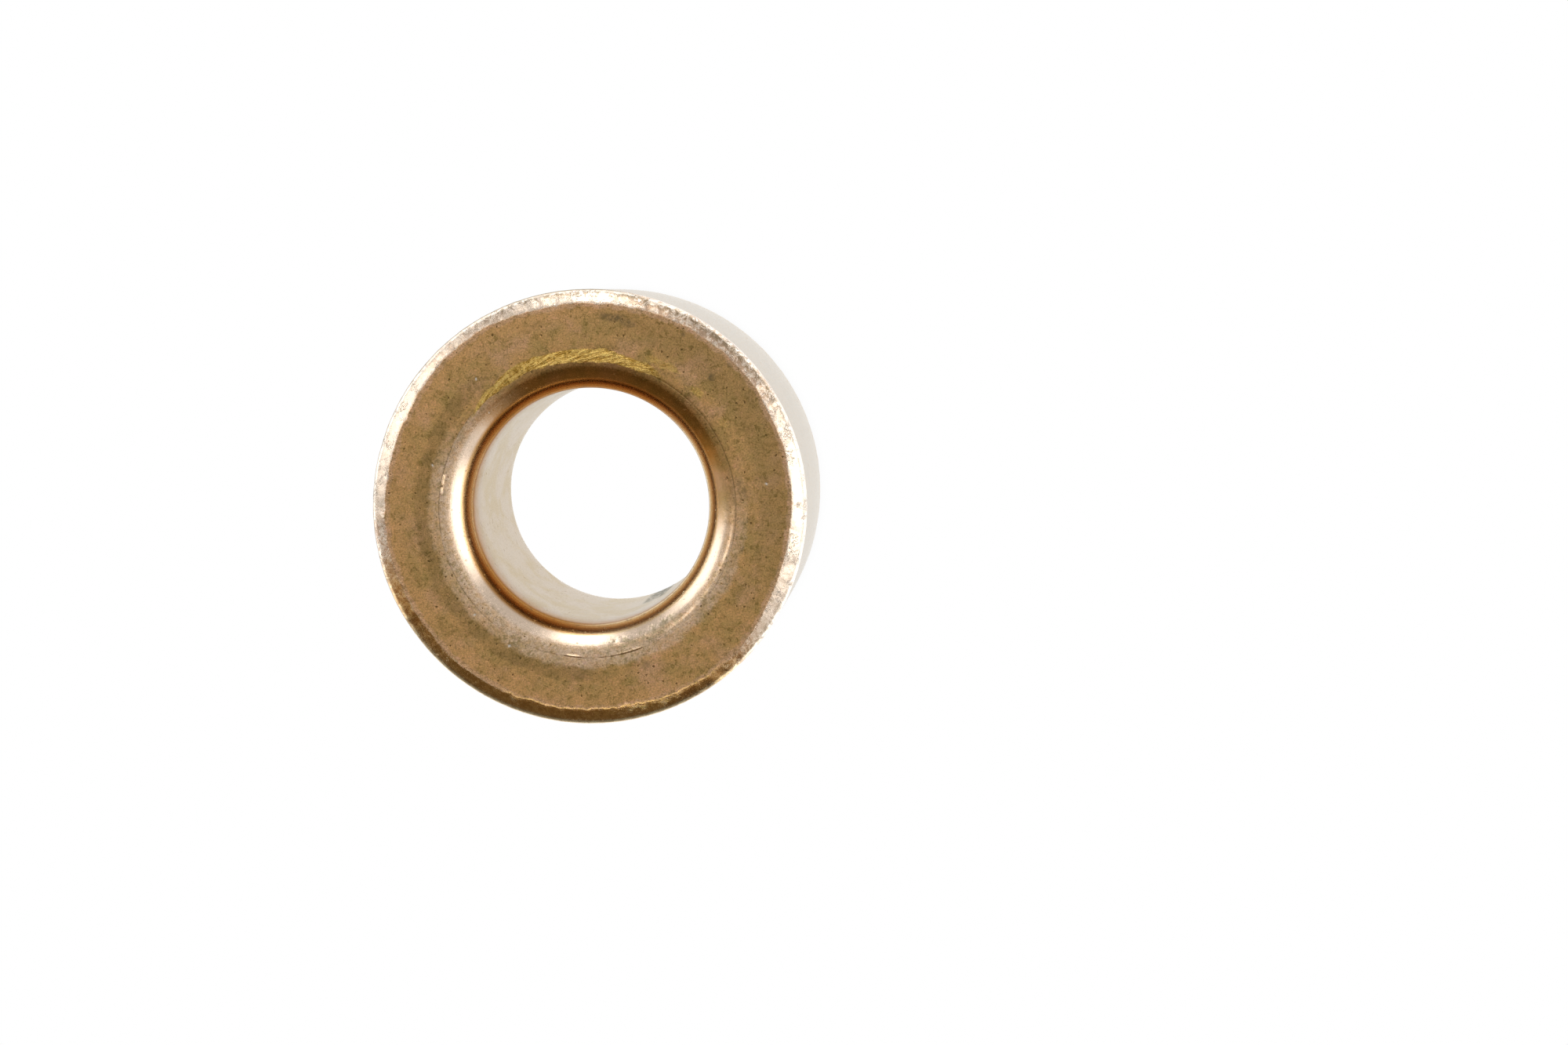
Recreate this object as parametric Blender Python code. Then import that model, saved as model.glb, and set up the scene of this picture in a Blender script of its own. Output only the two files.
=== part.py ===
"""A plain sleeve bushing in porous sintered bronze, standing on one end.

The sleeve is one pressed and sintered piece. Its bore opens at each end through a
rounded bell mouth, the end face is slightly sunk round that mouth, and the outer
edge is broken by a narrow slope with a small round below it. Both ends are alike.

Frame: metres, +Z along the bore, origin at the centre of the lower end.
"""

from math import cos, pi, radians, sin, tan

import bmesh
import bpy

# Driving dimensions
BORE_RADIUS = 0.006
OUTER_RADIUS = 0.011
LENGTH = 0.020

# Each end of the sleeve
MOUTH_RADIUS = 0.0017  # quarter round from the bore out to the end face
SINK_DEPTH = 0.00008  # how far the face has sunk where it meets the mouth
SINK_OUTER_RADIUS = 0.0085  # the face is flat from here outwards
EDGE_WIDTH = 0.00074  # from the outer wall in to where the broken edge meets the face
EDGE_SLOPE = radians(32)  # of the broken edge against the face
EDGE_ROUND_RADIUS = 0.0006  # round between the broken edge and the outer wall
EDGE_ROUND_SWEEP = radians(52)

# Fineness of the turned surface
TURN_STEPS = 72
SHARP_ANGLE = radians(20)
MOUTH_STEPS = 8
SINK_STEPS = 3
EDGE_STEPS = 4

SLEEVE_NAME = "bushing_sleeve"
BRONZE_COLOUR = (0.40, 0.235, 0.095, 1.0)
BRONZE_ROUGHNESS = 0.38
BRONZE_METALLIC = 1.0


def remove_old_objects():
    """Clears the scene of whatever objects it already holds."""
    for old in list(bpy.data.objects):
        bpy.data.objects.remove(old, do_unlink=True)


def arc(centre_radius, centre_height, radius, start, end, steps):
    """Points (radius, height) along a round, both of its ends included."""
    points = []
    for step in range(steps + 1):
        angle = start + (end - start) * step / steps
        points.append(
            (centre_radius + radius * cos(angle), centre_height + radius * sin(angle))
        )
    return points


def sunk_ring(lip_radius):
    """The sunk ring of the upper face, from its outer rim in to the mouth's lip."""
    points = []
    for step in range(SINK_STEPS):
        share = step / SINK_STEPS
        radius = SINK_OUTER_RADIUS + (lip_radius - SINK_OUTER_RADIUS) * share
        sink = SINK_DEPTH * (1 - cos(pi * share)) / 2
        points.append((radius, LENGTH - sink))
    return points


def upper_end():
    """The upper end's outline, from the outer wall across the face into the bore."""
    sloped_width = EDGE_WIDTH - EDGE_ROUND_RADIUS * (1 - cos(EDGE_ROUND_SWEEP))
    sloped_depth = sloped_width * tan(EDGE_SLOPE)
    edge = arc(
        OUTER_RADIUS - EDGE_ROUND_RADIUS,
        LENGTH - sloped_depth - EDGE_ROUND_RADIUS * sin(EDGE_ROUND_SWEEP),
        EDGE_ROUND_RADIUS,
        0.0,
        EDGE_ROUND_SWEEP,
        EDGE_STEPS,
    )
    edge.append((OUTER_RADIUS - EDGE_WIDTH, LENGTH))
    lip_radius = BORE_RADIUS + MOUTH_RADIUS
    mouth = arc(
        lip_radius,
        LENGTH - SINK_DEPTH - MOUTH_RADIUS,
        MOUTH_RADIUS,
        pi / 2,
        pi,
        MOUTH_STEPS,
    )
    return edge + sunk_ring(lip_radius) + mouth


def sleeve_outline():
    """The sleeve's closed outline: down the outer wall, in, up the bore and out."""
    upper = upper_end()
    lower = [(radius, LENGTH - height) for radius, height in upper]
    return [upper[0]] + lower + upper[:0:-1]


def bronze():
    """Bare bronze, satin from the press, with the oil's darker tone in its pores."""
    material = bpy.data.materials.new("bronze")
    material.use_nodes = True
    shader = material.node_tree.nodes["Principled BSDF"]
    shader.inputs["Base Color"].default_value = BRONZE_COLOUR
    shader.inputs["Roughness"].default_value = BRONZE_ROUGHNESS
    shader.inputs["Metallic"].default_value = BRONZE_METALLIC
    return material


def turned_mesh(outline):
    """The solid that a closed outline sweeps in one turn round the bore's axis."""
    shape = bmesh.new()
    corners = [shape.verts.new((radius, 0.0, height)) for radius, height in outline]
    lines = []
    for corner, following in zip(corners, corners[1:] + corners[:1]):
        lines.append(shape.edges.new((corner, following)))
    bmesh.ops.spin(
        shape,
        geom=corners + lines,
        cent=(0.0, 0.0, 0.0),
        axis=(0.0, 0.0, 1.0),
        angle=2 * pi,
        steps=TURN_STEPS,
        use_merge=True,
    )
    bmesh.ops.recalc_face_normals(shape, faces=shape.faces)
    mesh = bpy.data.meshes.new(SLEEVE_NAME)
    shape.to_mesh(mesh)
    shape.free()
    mesh.shade_smooth()
    mesh.set_sharp_from_angle(angle=SHARP_ANGLE)
    return mesh


def build_sleeve():
    """The bushing's one piece: the sleeve, turned from its outline."""
    mesh = turned_mesh(sleeve_outline())
    mesh.materials.append(bronze())
    sleeve = bpy.data.objects.new(SLEEVE_NAME, mesh)
    bpy.context.scene.collection.objects.link(sleeve)
    return sleeve


def main():
    remove_old_objects()
    build_sleeve()


main()
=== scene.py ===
"""The looks of the sintered bronze sleeve bushing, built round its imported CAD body.

The sleeve is one piece, turned here again as a fine mesh with the marks that pressing,
sizing and handling leave on it: a chipped outer edge, a sunk ring round the mouth,
a punch's witness line that runs off centre, a torn arc beside it and pores.
Sizes are in metres where no comment says otherwise, in the frame of the CAD model:
+Z runs along the bore, and turns are counted from +X towards +Y.
"""

from math import cos, exp, pi, radians, sin, tan
from types import SimpleNamespace

import bpy
import numpy as np
from mathutils import Matrix, Vector, noise


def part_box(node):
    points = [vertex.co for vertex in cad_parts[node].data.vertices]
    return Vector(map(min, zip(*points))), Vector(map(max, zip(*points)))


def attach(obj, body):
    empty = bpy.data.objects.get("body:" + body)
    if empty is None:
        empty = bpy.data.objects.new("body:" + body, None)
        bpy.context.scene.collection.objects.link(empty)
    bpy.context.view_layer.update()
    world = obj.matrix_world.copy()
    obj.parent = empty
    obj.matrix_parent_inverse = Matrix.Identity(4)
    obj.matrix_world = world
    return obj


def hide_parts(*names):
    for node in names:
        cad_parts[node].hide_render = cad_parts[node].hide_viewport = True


NODE = "bushing_sleeve"
MM = 0.001

# Fineness of the mesh
TURN_STEPS = 660
LOWER_END_FINENESS = 0.55

# Camera: where it stands from the centre of the upper end, and what it looks along
CAMERA_FROM_FACE = Vector((18.85, 10.77, 196.42)) * MM
CAMERA_TILT_X = 0.0457
CAMERA_TILT_Y = 0.0586
CAMERA_LENS = 90.0
SENSOR_WIDTH = 36.0

# The broken outer edge: its width and slopes, and the round where it meets the face
EDGE_WIDTH = 0.74 * MM
EDGE_NARROWING = 0.17
EDGE_ROUND_RADIUS = 0.60 * MM
EDGE_ROUND_SLOPE = radians(38)
EDGE_CREASE_SLOPE = radians(26)
EDGE_CREASE_SOFTENING = radians(18)
EDGE_SHARES = (0, 0.03, 0.07, 0.12, 0.2, 0.32, 0.5, 0.75, 1.0)
CREASE_ROUND = 0.035 * MM
SOFT_CREASE = 2.6

# How far the crease sways and ripples, and how much more where it is chipped, in mm, and how
# far its teeth reach, as a share of the edge's run
CREASE_SWAY = 0.08
CREASE_RIPPLE = 0.05
CHIPPED_RIPPLE = 0.04
TEETH_REACH = 0.16

# The burr along the chipped crease. Its profile has the distance inward in mm, and a height
# as a share of the burr's
BURR_HEIGHT = 0.028 * MM
BURR_WIDTH = 0.12 * MM
BURR_PROFILE = ((0.0, 0.5), (0.03, 1.0), (0.055, 0.6), (0.08, 0.1))

# The mouth and the sunk ring round it
MOUTH_RADIUS = 1.7 * MM
MOUTH_START_SLOPE = radians(7)
SUNK_OUTER_RADIUS = 8.5 * MM

# The witness line. Its profile has the place across it in half widths, outward, and the
# shares of its groove and of its ridge. The mouth's round goes on from its inner side
LINE_RADIUS = 7.51 * MM
LINE_CENTRE = Vector((-0.05, -0.10)) * MM
LINE_WAVER = 0.012 * MM
LINE_HALF_WIDTH = 0.028 * MM
LINE_DEPTH = 0.016 * MM
LINE_RIDGE = 0.045 * MM
LINE_PROFILE = ((2, 0, 0), (1, 0.4, 0), (0, 1, 0), (-1, 0.3, 0.4), (-2, 0, 1), (-3, 0, 0.6))
LINE_INNER_SIDE = 3.6

# The worn ledge in the mouth's rim
LEDGE_RADIUS = 7.37 * MM
LEDGE_WIDTH = 0.12 * MM
LEDGE_REACH = 0.6 * MM
LEDGE_DEPTH = 0.040 * MM

# Width of the torn arc at its widest, and the radius up to which the mouth's highlight is painted
TORN_WIDTH = 0.54 * MM
LIT_REACH = 6.7 * MM

# How far each end stands back from the CAD face, and how far a grain may stand above it
FACE_DROP = 0.030 * MM
PROUD_LIMIT = 0.06 * MM

# Heights of the relief: everywhere, and what the zones add to it
LUMP_HEIGHT = 0.004 * MM
BUMP_HEIGHT = 0.0012 * MM
EDGE_BUMPS = 0.012 * MM
EDGE_GRAINS = 0.003 * MM
FRAY_GRAINS = 0.010 * MM
TORN_BUMPS = 0.012 * MM
TORN_GRAINS = 0.002 * MM
DENT_BUMPS = 0.024 * MM
DENT_DEPTH = 0.016 * MM
SCUFF_HEIGHT = 0.01 * MM

# Arcs round the turn where the sleeve differs: middle, half width and fade, in degrees
ARCS = {
    "chipped": (-82, 22, 16),
    "ledge": (-31, 26, 12),
    "no groove": (102, 32, 12),
    "torn": (101, 30, 16),
    "torn wide": (97, 16, 34),
    "stranded": (88, 14, 20),
    "gold trail": (50, 14, 10),
    "polished": (238, 106, 18),
    "outline": (148, 58, 20),
    "burr": (-82, 26, 12),
    "gilded": (-86, 19, 12),
    "patina": (256, 50, 18),
    "shaded shoulder": (64, 52, 34),
    "rubbed": (258, 92, 26),
    "rubbed most": (286, 38, 20),
    "olive_band": (203, 58, 26),
    "shaded": (56, 46, 30),
    "dull": (28, 26, 50),
    "warm": (175, 105, 35),
    "dent": (293, 13, 7),
    "scuff": (-66, 4.5, 3),
}

# The same for what has several arcs, each after its strength
NARROW_EDGE = ((1.0, (53, 12, 18)), (1.0, (128, 8, 16)), (1.5, (305, 10, 18)))
SOFT_EDGE = ((1.0, (118, 24, 14)), (1.0, (62, 10, 14)))
RIDGED_LINE = ((1.0, (180, 22, 14)), (1.0, (274, 22, 14)))
SHARP_LINE = ((1.0, (8, 18, 10)), (0.7, (182, 30, 14)))
# LIT_MOUTH: where the mouth's steep ring gets a painted highlight
LIT_MOUTH = ((1.0, (-22, 44, 45)), (0.35, (177, 16, 22)))
# DIM_EDGE: arcs where the edge's rough patches darken more, as painted shade
DIM_EDGE = ((1.0, (54, 19, 12)), (0.45, (126, 9, 10)), (1.0, (201, 13, 12)), (0.9, (309, 8, 12)))
MARKED_RIM = ((1.0, (72, 42, 12)), (0.7, (316, 16, 14)))

# Rings round the axis where the surface differs: two radii and a fade, in mm
RINGS = {
    "gold trail": (7.95, 8.25, 0.14),
    "polished": (6.2, 6.92, 0.22),
    "marked rim": (10.70, 10.88, 0.08),
    "rubbed": (7.4, 7.88, 0.34),
    "olive_band": (8.16, 8.66, 0.24),
    "shaded": (6.9, 7.42, 0.14),
    "dent": (6.85, 7.28, 0.1),
}

# What is painted on the mesh, as shares from 0 to 1, for the material to read
ZONE_NAMES = (
    "torn strand line edge fray outline burr gilded patina rim dim "
    "lit polished rubbed dent scuff stain dull warm smudge chip"
).split()

# Dark smudges on the upper face: turn in degrees, radius, half length and half width in mm,
# and strength
SMUDGES = (
    (82, 9.66, 0.80, 0.23, 0.8),
    (77.5, 9.50, 0.42, 0.20, 0.65),
    (46.5, 9.06, 0.20, 0.22, 0.85),
    (345, 8.05, 0.20, 0.06, 0.8),
    (331, 8.00, 0.35, 0.05, 0.6),
    (319, 8.05, 0.30, 0.05, 0.5),
    (9, 7.70, 0.22, 0.12, 0.5),
    (6, 8.00, 0.16, 0.14, 0.45),
    (290, 8.45, 0.30, 0.22, 0.4),
    (61, 9.98, 0.14, 0.14, 0.6),
    (45, 10.12, 0.20, 0.10, 0.6),
)

# Grains proud of the face, with a painted glint: turn in degrees, then radius, size and height in
# mm
PROUD_GRAINS = (
    (7.7, 9.06, 0.12, 0.055),
    (131, 8.62, 0.10, 0.035),
    (223, 7.95, 0.10, 0.035),
    (240, 8.05, 0.12, 0.045),
    (165, 8.12, 0.10, 0.040),
)

# Pores of two kinds: size of their cells in mm, smallest and largest radius in cells, share of
# the radius at which they start to fade, share of cells without a pore, and strength
PORE_KINDS = (
    (0.38, 0.08, 0.19, 0.6, 0.36, 1.0),
    (0.24, 0.11, 0.22, 0.5, 0.34, 0.7),
)

# Colours of the bronze, as what it gives back of a white light: of the face,
TAN = (0.765, 0.446, 0.178)
OLIVE = (0.575, 0.378, 0.137)
PINKISH = (0.83, 0.488, 0.272)
WARM = (0.84, 0.48, 0.20)
DULL = (0.44, 0.275, 0.105)
DARK_OLIVE = (0.42, 0.265, 0.10)
SMUDGE = (0.23, 0.16, 0.075)
PORE = (0.13, 0.085, 0.03)
CRACK = (0.34, 0.25, 0.15)
# PAINTED_GLINT is a painted highlight on the proud grains
PAINTED_GLINT = (1.0, 0.96, 0.88)

# of the broken edge and the torn arc,
BROKEN = (0.90, 0.74, 0.59)
FRAYED = (0.86, 0.55, 0.36)
# SHADED_EDGE: painted shade on the edge's arc on the flag's side; SHADED_EDGE_GLINT: painted
# glints
SHADED_EDGE = (0.80, 0.54, 0.26)
SHADED_EDGE_GLINT = (1.0, 0.74, 0.40)
# BURR: the burr's fresh metal, its bright gold partly a painted glint
BURR = (1.0, 0.61, 0.23)
GOLD = (1.0, 0.67, 0.205)
GOLD_DARK = (0.54, 0.31, 0.06)

# of the mouth, the bore and the wall,
RUBBED = (0.94, 0.68, 0.47)
# POLISH_AND_HIGHLIGHT: the polished mouth, whiter as a painted highlight
POLISH_AND_HIGHLIGHT = (0.92, 0.72, 0.55)
# DEEP_SHADE is painted shade on the mouth's steep ring, DEEP_LIT a painted highlight on it
DEEP_SHADE = (0.63, 0.335, 0.11)
DEEP_LIT = (1.0, 0.82, 0.52)
BORE = (0.70, 0.53, 0.37)
BORE_MOUTH = (0.46, 0.25, 0.10)
SCUFFED = (0.27, 0.24, 0.15)
WALL = (0.44, 0.262, 0.115)
WALL_DULL = (0.32, 0.185, 0.075)

# and tints that darken or lighten what lies under them
DARK_TINT = (0.64, 0.66, 0.56)
SMOKE_TINT = (0.70, 0.72, 0.64)
LIGHT_TINT = (1.13, 1.08, 1.20)
# DIM_TINT darkens the edge's rough patches, partly as painted shade
DIM_TINT = (0.64, 0.51, 0.41)

# Tints of what the metal mirrors at a glance
CLEAN_TINT = (1.0, 1.0, 1.0)
LIP_TINT = (0.98, 0.82, 0.70)
BORE_TINT = (0.94, 0.91, 0.81)
WALL_TINT = (0.96, 1.0, 0.98)
OUTLINE_TINT = (0.50, 0.46, 0.40)
# RING_TINT is painted shade on what the mouth's steep ring mirrors
RING_TINT = (0.74, 0.59, 0.48)

# Light of the room between the cards, how far the cards fade at the top, in degrees, how far
# off they stand, and how fine they are
WHITE = (1, 1, 1)
ROOM_LIGHT = 0.55
TOP_FADE = 16.0
CARD_DISTANCE = 0.8
CARD_COLUMNS = 40
CARD_ROWS = 24

# The floor that the camera sees: its light where the level is 0, and the radius and level of
# its rings
CONTACT_SHADE = 0.82
FLOOR_RINGS = ((0.0100, 0), (0.0108, 0.6), (0.0111, 0.93), (0.0114, 1), (0.99, 1))
FLOOR_HEIGHT = -0.02 * MM

# The floor that the metal mirrors, the same way
FLOOR_LIGHT_COLOUR = (0.94, 1.01, 1.09)
FLOOR_LIGHT_STRENGTH = 1.9
FLOOR_LIGHT_HEIGHT = -0.03 * MM
FLOOR_LIGHT_RINGS = (
    (0.0105, 0.84),
    (0.012, 0.76),
    (0.014, 0.67),
    (0.020, 0.77),
    (0.040, 1),
    (0.060, 1),
    (0.090, 1),
    (0.22, 0.25),
    (3.0, 0.17),
)

# What the camera sees through the bore, and what the bore mirrors of it
BORE_PAD_RADIUS = 7.6 * MM
BORE_PAD_HEIGHT = 0.01 * MM
BORE_LIGHT_COLOUR = (1, 1, 0.95)
BORE_LIGHT_STRENGTH = 0.84
BORE_LIGHT_SHARE = 0.98
BORE_LIGHT_HEIGHT = 0.02 * MM

# The white wall far off, and the number of sides of all that is round on the stage
BACKDROP_RADIUS = 0.98
BACKDROP_HEIGHT = 1.2
SIDES = 96

# The dark flag: the arc of floor that it shades and how much further it reaches, in degrees,
# from what radius it shades the floor, and how much of the floor's light it leaves
FLAG_MIDDLE = 257.0
FLAG_HALF_WIDTH = 46.0
FLAG_MARGIN = 11
FLAG_COLOUR = (1, 0.64, 0.26)
FLAG_FLOOR_START = 0.028
FLAG_FLOOR_SHARE = 0.15


def size_of_frame():
    """Length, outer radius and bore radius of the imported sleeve."""
    low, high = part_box(NODE)
    corners = np.array([v.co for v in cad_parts[NODE].data.vertices])
    bore = np.hypot(corners[:, 0], corners[:, 1]).min()
    return high.z - low.z, (high.x - low.x) / 2, bore


def wave(angles, cycles, seed, octaves=4):
    """Noise from -1 to 1 that closes on itself round the turn."""
    values = []
    for angle in angles:
        at = Vector((cos(angle) * cycles, sin(angle) * cycles, seed))
        values.append(noise.fractal(at, 1.0, 2.0, octaves))
    return np.array(values)


def rough(points, size, seed, octaves=3):
    """Noise about 0 at each point, with lumps of about that size."""
    shift = Vector((seed, seed * 1.7, seed * 2.3))
    return np.array(
        [noise.fractal(Vector(p) / size + shift, 0.8, 2.1, octaves) for p in points]
    )


def step_between(value, low, high):
    """Smooth step from 0 at low to 1 at high."""
    share = np.clip((value - low) / (high - low), 0.0, 1.0)
    return share * share * (3 - 2 * share)


def band(value, low, high, soft):
    """1 between low and high, fading to 0 over soft outside them."""
    return step_between(value, low - soft, low) * (1 - step_between(value, high, high + soft))


def in_ring(radius, name):
    """1 in a ring round the axis, fading to 0 outside it."""
    low, high, soft = (size * MM for size in RINGS[name])
    return band(radius, low, high, soft)


def arc_share(angles, arc):
    """1 in an arc round the turn, fading to 0 to either side of it."""
    middle, half_width, soft = (radians(size) for size in arc)
    away = np.abs((angles - middle + pi) % (2 * pi) - pi)
    return 1 - step_between(away, half_width, half_width + soft)


def in_arc(angles, name):
    """1 in one of the named arcs, fading to 0 to either side of it."""
    return arc_share(angles, ARCS[name])


def all_arcs(angles, arcs):
    """What a few arcs add up to, each times its strength."""
    return sum(strength * arc_share(angles, arc) for strength, arc in arcs)


def strongest_arc(angles, arcs):
    """The largest of a few arcs, each times its strength."""
    return np.maximum.reduce([strength * arc_share(angles, arc) for strength, arc in arcs])


def witness_line(angles):
    """Radius of the line that the punch left round the mouth, at each angle."""
    middle = LINE_RADIUS + LINE_CENTRE.x * np.cos(angles) + LINE_CENTRE.y * np.sin(angles)
    return middle + LINE_WAVER * wave(angles, 3.0, 9.7, 5)


def crease_parts(angles):
    """Radius where the broken edge meets the face, at each angle, and its teeth."""
    ripple = (CREASE_RIPPLE + CHIPPED_RIPPLE * in_arc(angles, "chipped")) * MM
    slow = CREASE_SWAY * MM * wave(angles, 1.4, 2.0, 3)
    fast = ripple * wave(angles, 11.0, 5.1, 3)
    teeth = ripple * np.abs(wave(angles, 44.0, 8.1, 4))
    narrow = all_arcs(angles, NARROW_EDGE)
    return OUTER_RADIUS - EDGE_WIDTH * (1 - EDGE_NARROWING * narrow) + slow + fast, teeth


def crease_radius(angles):
    """Radius of the crease with its teeth, at each angle."""
    smooth, teeth = crease_parts(angles)
    return smooth - teeth


def row_count(full, fine):
    """Number of rows at a share of the full fineness."""
    return max(3, round(full * fine))


def edge_drops(angles, seed, shares):
    """How far the broken edge has dropped at each share of its run, per length of the run."""
    soft = all_arcs(angles, SOFT_EDGE)
    soft = soft * np.clip(0.7 + 0.9 * wave(angles, 9.0, seed + 12.6, 3), 0.1, 1.3)
    across = shares[:, None]
    slopes = EDGE_CREASE_SLOPE + (EDGE_ROUND_SLOPE - EDGE_CREASE_SLOPE) * across
    fade = np.exp(-across * EDGE_WIDTH / (CREASE_ROUND * (1 + SOFT_CREASE * soft)))
    steepness = np.tan(slopes - EDGE_CREASE_SOFTENING * fade)
    rises = np.diff(shares)[:, None] * (steepness[1:] + steepness[:-1]) / 2
    return np.vstack([0 * angles, np.cumsum(rises, axis=0)])


def edge_rows(angles, seed, fine):
    """Rows of the outer edge: a tight round off the wall, then a nearly straight break."""
    corner = OUTER_RADIUS - EDGE_ROUND_RADIUS * (1 - sin(EDGE_ROUND_SLOPE))
    smooth, teeth = crease_parts(angles)
    run = corner - smooth
    shares = np.array(EDGE_SHARES)
    if fine < 1:
        shares = shares[::2]
    drops = edge_drops(angles, seed, shares)
    corner_depth = run * drops[-1]
    rows = []
    count = row_count(6, fine)
    for index in range(count):
        slope = pi / 2 + (EDGE_ROUND_SLOPE - pi / 2) * index / count
        radius = OUTER_RADIUS - EDGE_ROUND_RADIUS * (1 - sin(slope))
        depth = corner_depth + EDGE_ROUND_RADIUS * (cos(EDGE_ROUND_SLOPE) - cos(slope))
        rows.append((radius + 0 * angles, depth))
    for share, drop in zip(shares[:0:-1], drops[:0:-1]):
        rows.append((smooth + run * share - teeth * exp(-share / TEETH_REACH), run * drop))
    return rows


def face_rows(angles, fine):
    """Rows of the face, flat in to the sunk ring, with a burr along the crease where chipped."""
    crease = crease_radius(angles)
    chipped = in_arc(angles, "chipped")
    rows = []
    for across, lift in BURR_PROFILE:
        rows.append((crease - across * MM, -lift * chipped * BURR_HEIGHT))
    inner = crease - BURR_WIDTH
    count = row_count(20, fine)
    for index in range(count):
        share = index / count
        rows.append((inner + (SUNK_OUTER_RADIUS - inner) * share, 0 * angles))
    return rows


def worn_ledge(angles, seed):
    """How far the ledge in the mouth's rim is worn in, from 0 to 1, at each angle."""
    worn = in_arc(angles, "ledge")
    return worn * np.clip(0.8 + 0.8 * wave(angles, 6.0, seed + 7.7, 4), 0, 1)


def mouth_depth(radius, worn):
    """Depth of the sunk ring and the mouth's round at a radius, with the worn ledge.

    The sunk ring meets the mouth's round on a tangent.
    """
    lip = BORE_RADIUS + MOUTH_RADIUS * (1 - sin(MOUTH_START_SLOPE))
    width = SUNK_OUTER_RADIUS - lip
    sunk = width * tan(MOUTH_START_SLOPE) / 2
    outside = sunk * (np.maximum(SUNK_OUTER_RADIUS - radius, 0) / width) ** 2
    rise = np.clip(1 - (radius - BORE_RADIUS) / MOUTH_RADIUS, 0, 1)
    inside = sunk + MOUTH_RADIUS * (cos(MOUTH_START_SLOPE) - np.sqrt(1 - rise**2))
    inward = LEDGE_RADIUS - radius
    ledge = step_between(inward, 0, LEDGE_WIDTH)
    ledge = ledge - step_between(inward, LEDGE_WIDTH, LEDGE_REACH)
    return np.where(radius > lip, outside, inside) + LEDGE_DEPTH * worn * ledge


def mouth_rows(angles, seed, fine):
    """Rows of the sunk ring, of the witness line in it and of the mouth's round."""
    worn = worn_ledge(angles, seed)
    line = witness_line(angles)
    outside = line + LINE_PROFILE[0][0] * LINE_HALF_WIDTH
    rows = []
    count = row_count(13, fine)
    for index in range(count):
        radius = SUNK_OUTER_RADIUS + (outside - SUNK_OUTER_RADIUS) * index / count
        rows.append((radius, mouth_depth(radius, worn)))

    grooved = 1 - in_arc(angles, "no groove")
    grooved = grooved * (0.5 + 0.5 * wave(angles, 5.0, seed + 1.3, 3))
    ridged = all_arcs(angles, RIDGED_LINE)
    ridged = ridged * np.clip(0.4 + 1.8 * wave(angles, 7.0, seed + 4.4, 4), 0, 1)
    for across, groove, ridge in LINE_PROFILE:
        radius = line + across * LINE_HALF_WIDTH
        shift = LINE_DEPTH * groove * grooved - LINE_RIDGE * ridge * ridged
        rows.append((radius, mouth_depth(radius, worn) + shift))

    # the round, in steps of slope from the line to the bore, finer near the line
    inside = line - LINE_INNER_SIDE * LINE_HALF_WIDTH
    start = np.arcsin(np.clip(1 - (inside - BORE_RADIUS) / MOUTH_RADIUS, 0, 1))
    count = row_count(22, fine)
    for index in range(1, count + 1):
        slope = start + (pi / 2 - start) * (index / count) ** 1.25
        radius = BORE_RADIUS + MOUTH_RADIUS * (1 - np.sin(slope))
        rows.append((radius, mouth_depth(radius, worn)))
    return rows


def end_rows(angles, seed, fine):
    """Rows (radius, depth under the face) of one end, from the outer wall to the bore.

    Each row is a ring with a value for every angle. fine is the share of the full
    number of rows.
    """
    outer = edge_rows(angles, seed, fine) + face_rows(angles, fine)
    return outer + mouth_rows(angles, seed, fine)


def wall_rows(upper_row, lower_row, count):
    """Rows between two rings, which lie between them but don't repeat them."""
    rows = []
    for index in range(1, count):
        eased = (1 - cos(pi * index / count)) / 2
        radius = upper_row[0] + (lower_row[0] - upper_row[0]) * eased
        height = upper_row[1] + (lower_row[1] - upper_row[1]) * eased
        rows.append((radius, height))
    return rows


def sleeve_rows(angles):
    """All rings (radius, height): over the top, down the bore and back up outside."""
    upper = [(r, LENGTH - d) for r, d in end_rows(angles, 2.0, 1.0)]
    lower = [(r, d + 0 * angles) for r, d in end_rows(angles, 31.0, LOWER_END_FINENESS)]
    lower.reverse()
    inside = wall_rows(upper[-1], lower[0], 12)
    outside = wall_rows(lower[-1], upper[0], 14)
    return upper + inside + lower + outside


def places(points, turn, r, z):
    """Where the points of the mesh lie, and the noises that blur the outlines of its zones."""
    rings = np.linspace(0, 2 * pi, TURN_STEPS, endpoint=False)
    return SimpleNamespace(
        turn=turn,
        r=r,
        z=z,
        upper=step_between(z, LENGTH * 0.5, LENGTH * 0.9),
        depth=np.where(z > LENGTH / 2, LENGTH - z, z),
        sway=0.10 * MM * rough(points, 0.40 * MM, 5.0),
        drift=0.12 * MM * rough(points, 0.9 * MM, 57.0, 2),
        stray=0.5 * rough(points, 1.6 * MM, 41.0),
        line=np.interp(turn, rings, witness_line(rings)),
        crease=np.interp(turn, rings, crease_radius(rings)),
    )


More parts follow.
